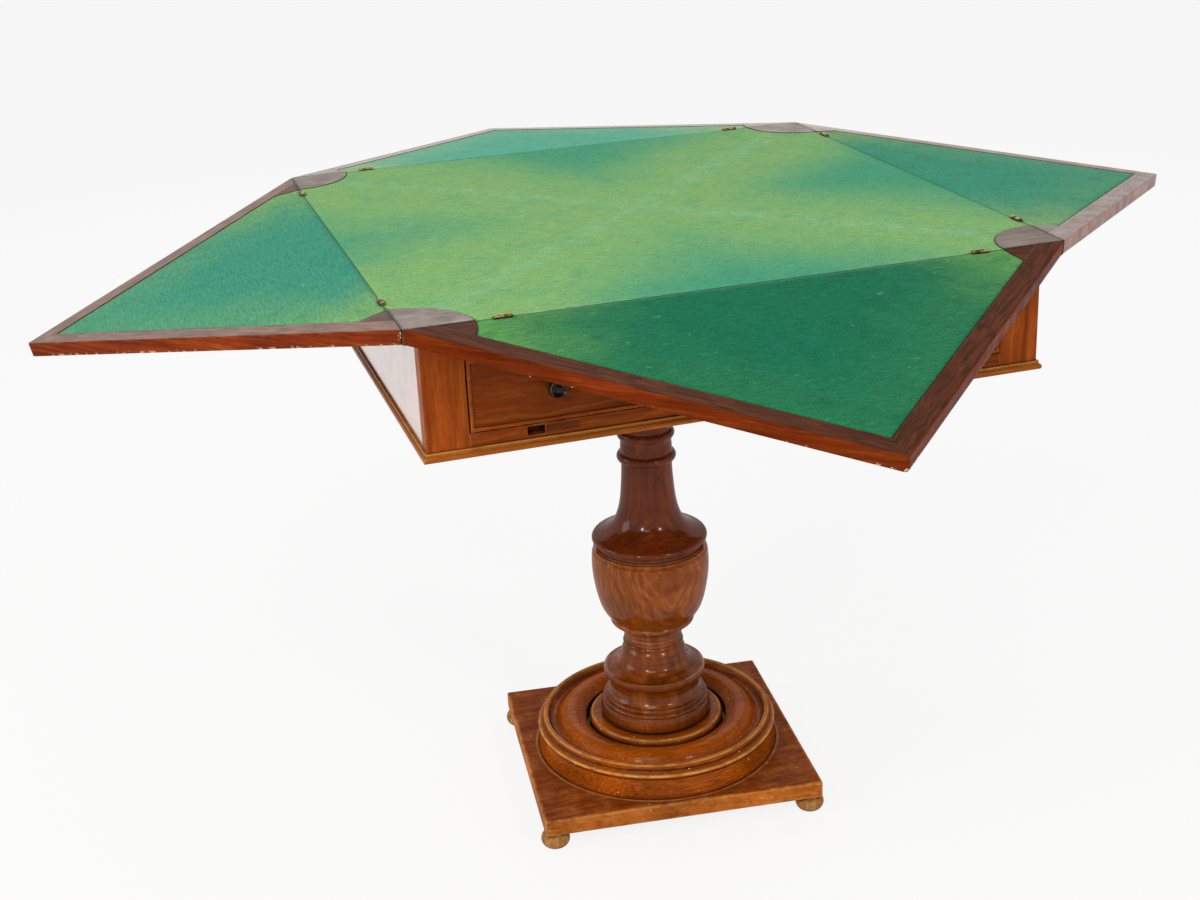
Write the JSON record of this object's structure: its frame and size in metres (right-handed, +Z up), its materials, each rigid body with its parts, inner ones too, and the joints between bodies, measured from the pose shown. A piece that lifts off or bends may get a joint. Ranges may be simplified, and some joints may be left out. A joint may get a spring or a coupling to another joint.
{
  "type": "folding card table",
  "caption": "Square card table whose baize-lined top unfolds triangular leaves and turns on a case with a drawer, on one turned column and a flat base.",
  "frame": {"origin": "on the floor, straight under the axis of the column", "axes": "+Z up, +X along the front of the case to the right, the drawer opens towards -Y"},
  "size_m": [1.4568, 1.4599, 0.7873],
  "materials": {
    "case_wood": "old polish, satin",
    "rim_wood": "old polish, satin",
    "ear_wood": "worn, dull",
    "column_wood": "old polish, glossy",
    "disc_wood": "old polish, glossy",
    "plinth_wood": "worn, satin",
    "foot_wood": "worn, dull",
    "knob_wood": "old polish, glossy",
    "bead_wood": "old polish, satin",
    "inner_wood": "bare",
    "centre_baize": "matt cloth",
    "leaf_baize": "matt cloth",
    "brass": "dull, aged",
    "steel": "dull"
  },
  "bodies": {
    "case": {"base_plate": "plinth_wood", "bun_feet": "foot_wood", "base_disc": "disc_wood", "column_pedestal": "column_wood", "column_vase": "column_wood", "column_shaft": "column_wood", "column_capital": "column_wood", "capital_screws": "steel", "case_floor": "inner_wood", "lower_bearer": "inner_wood", "upper_bearer": "inner_wood", "case_side_left": "case_wood", "case_side_right": "case_wood", "case_back": "case_wood", "front_stiles": "case_wood", "rail_top": "case_wood", "rail_bottom": "case_wood", "case_moulding": "case_wood", "corner_blocks": "inner_wood", "drawer_runners": "inner_wood", "drawer_guides": "inner_wood"},
    "top": {"top_board": "rim_wood", "top_baize": "centre_baize", "corner_ears": "ear_wood", "turning_disc": "inner_wood", "pivot_bolt": "steel", "pivot_washer": "steel", "pivot_nut": "steel", "stop_peg": "inner_wood", "hinge_flaps_top": "brass", "hinge_pins": "brass", "hinge_screws_top": "brass"},
    "leaf_front": {"leaf_front_rim": "rim_wood", "leaf_front_panel": "rim_wood", "leaf_front_ears": "ear_wood", "leaf_front_baize": "leaf_baize", "leaf_front_hinges": "brass"},
    "leaf_right": {"leaf_right_rim": "rim_wood", "leaf_right_panel": "rim_wood", "leaf_right_ears": "ear_wood", "leaf_right_baize": "leaf_baize", "leaf_right_hinges": "brass"},
    "leaf_back": {"leaf_back_rim": "rim_wood", "leaf_back_panel": "rim_wood", "leaf_back_ears": "ear_wood", "leaf_back_baize": "leaf_baize", "leaf_back_hinges": "brass"},
    "leaf_left": {"leaf_left_rim": "rim_wood", "leaf_left_panel": "rim_wood", "leaf_left_ears": "ear_wood", "leaf_left_baize": "leaf_baize", "leaf_left_hinges": "brass"},
    "drawer": {"drawer_front": "case_wood", "drawer_beading": "bead_wood", "drawer_side_left": "inner_wood", "drawer_side_right": "inner_wood", "drawer_back": "inner_wood", "drawer_floor": "inner_wood", "drawer_knobs": "knob_wood", "knob_screws": "steel"}
  },
  "joints": [
    {"name": "top_turn", "type": "hinge", "parent": "case", "child": "top", "pos_m": [0, 0, 0.75801], "axis": [0, 0, 1], "range_deg": [0, 10]},
    {"name": "leaf_front_fold", "type": "hinge", "parent": "top", "child": "leaf_front", "pos_m": [0, -0.368, 0.785], "axis": [-1, 0, 0], "range_deg": [0, 189.5]},
    {"name": "leaf_right_fold", "type": "hinge", "parent": "top", "child": "leaf_right", "pos_m": [0.368, 0, 0.785], "axis": [0, -1, 0], "range_deg": [0, 186.6]},
    {"name": "leaf_back_fold", "type": "hinge", "parent": "top", "child": "leaf_back", "pos_m": [0, 0.368, 0.785], "axis": [1, 0, 0], "range_deg": [0, 185.7]},
    {"name": "leaf_left_fold", "type": "hinge", "parent": "top", "child": "leaf_left", "pos_m": [-0.368, 0, 0.785], "axis": [0, 1, 0], "range_deg": [0, 191.5]},
    {"name": "drawer_slide", "type": "slide", "parent": "case", "child": "drawer", "axis": [0, -1, 0], "range_m": [0, 0.175]}
  ]
}
